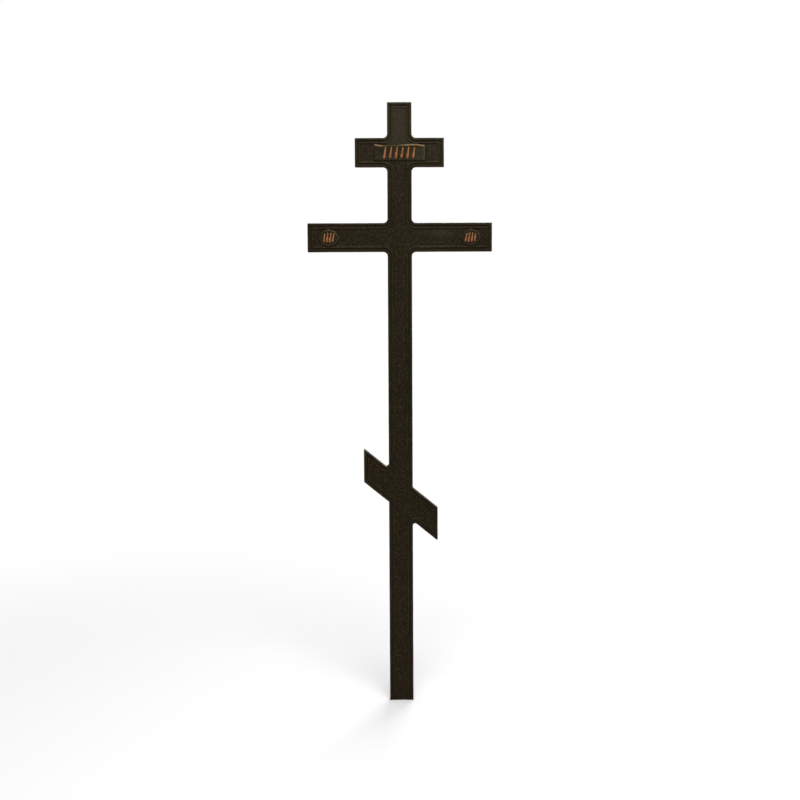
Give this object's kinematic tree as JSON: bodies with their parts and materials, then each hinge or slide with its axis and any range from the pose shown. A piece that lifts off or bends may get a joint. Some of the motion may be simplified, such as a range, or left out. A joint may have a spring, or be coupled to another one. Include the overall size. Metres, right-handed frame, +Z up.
{
  "type": "grave cross",
  "caption": "Tall three-barred iron grave cross with a slanted lower bar, a moulded rim, a scroll title tablet and two small medallions, cut flat at the ground.",
  "frame": {"origin": "middle of the foot's cut end, at ground level, half way through the panel's thickness", "axes": "+Z up along the upright; -Y out of the face with the moulded rim; +X to the viewer's right when facing it, where the slanted bar is low"},
  "size_m": [0.605, 0.0297, 2],
  "materials": {
    "black_iron": "satin",
    "plaque_iron": "satin",
    "copper_marks": "satin"
  },
  "bodies": {
    "root": {"cross_body": "black_iron", "title_tablet": "plaque_iron", "left_medallion": "plaque_iron", "right_medallion": "plaque_iron"}
  },
  "joints": []
}
